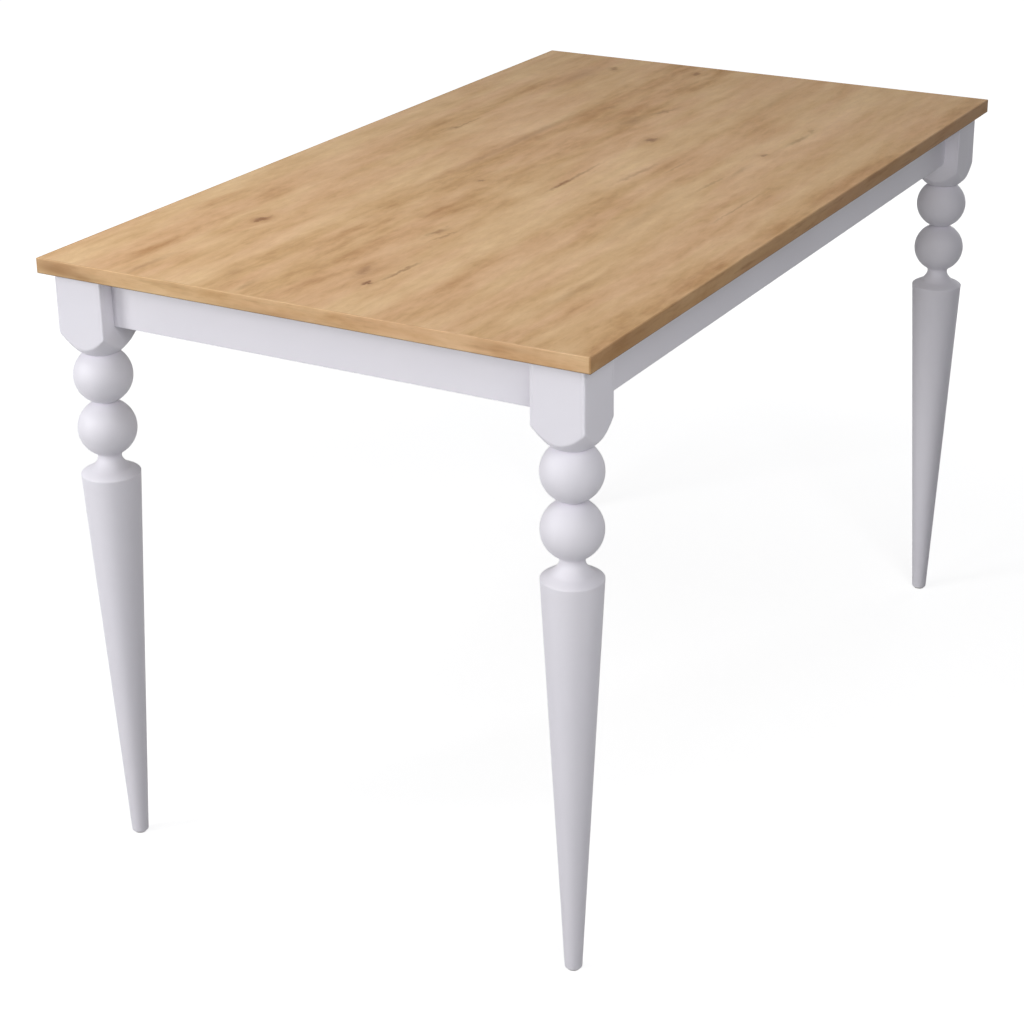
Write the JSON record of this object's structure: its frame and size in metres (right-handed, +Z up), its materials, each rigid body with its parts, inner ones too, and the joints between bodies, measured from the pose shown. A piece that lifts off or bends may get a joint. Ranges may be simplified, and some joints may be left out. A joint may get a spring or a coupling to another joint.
{
  "type": "rectangular dining table",
  "caption": "Rectangular dining table with a banded board top, low aprons and turned, tapering legs held by corner brackets and hanger bolts.",
  "frame": {"origin": "on the floor below the middle of the top", "axes": "+X along the long side of the top, +Y along its short side towards the back, +Z up"},
  "size_m": [1.2, 0.7, 0.75],
  "materials": {
    "oak_decor": "satin oak decor on board, grain along the length",
    "oak_band": "satin oak decor edge band, grain along each edge",
    "white_paint": "satin white paint on wood",
    "zinc": "bright zinc plate",
    "glide_plastic": "off-white moulded plastic"
  },
  "bodies": {
    "root": {"top_board": "oak_decor", "edge_band_front": "oak_band", "edge_band_right": "oak_band", "edge_band_back": "oak_band", "edge_band_left": "oak_band", "apron_front": "white_paint", "apron_right": "white_paint", "apron_back": "white_paint", "apron_left": "white_paint", "leg_front_left": "white_paint", "leg_front_right": "white_paint", "leg_back_right": "white_paint", "leg_back_left": "white_paint", "foot_glide_front_left": "glide_plastic", "foot_glide_front_right": "glide_plastic", "foot_glide_back_right": "glide_plastic", "foot_glide_back_left": "glide_plastic", "corner_bracket_front_left": "zinc", "corner_bracket_front_right": "zinc", "corner_bracket_back_right": "zinc", "corner_bracket_back_left": "zinc", "hanger_bolt_front_left": "zinc", "hanger_bolt_front_right": "zinc", "hanger_bolt_back_right": "zinc", "hanger_bolt_back_left": "zinc", "washer_front_left": "zinc", "washer_front_right": "zinc", "washer_back_right": "zinc", "washer_back_left": "zinc", "nut_front_left": "zinc", "nut_front_right": "zinc", "nut_back_right": "zinc", "nut_back_left": "zinc", "bracket_screw_front_left_1": "zinc", "bracket_screw_front_left_2": "zinc", "bracket_screw_front_right_1": "zinc", "bracket_screw_front_right_2": "zinc", "bracket_screw_back_right_1": "zinc", "bracket_screw_back_right_2": "zinc", "bracket_screw_back_left_1": "zinc", "bracket_screw_back_left_2": "zinc", "top_bracket_front_1": "zinc", "top_bracket_front_2": "zinc", "top_bracket_right": "zinc", "top_bracket_back_1": "zinc", "top_bracket_back_2": "zinc", "top_bracket_left": "zinc", "top_screw_front_1": "zinc", "top_screw_front_2": "zinc", "top_screw_right": "zinc", "top_screw_back_1": "zinc", "top_screw_back_2": "zinc", "top_screw_left": "zinc", "side_screw_front_1": "zinc", "side_screw_front_2": "zinc", "side_screw_right": "zinc", "side_screw_back_1": "zinc", "side_screw_back_2": "zinc", "side_screw_left": "zinc"}
  },
  "joints": []
}
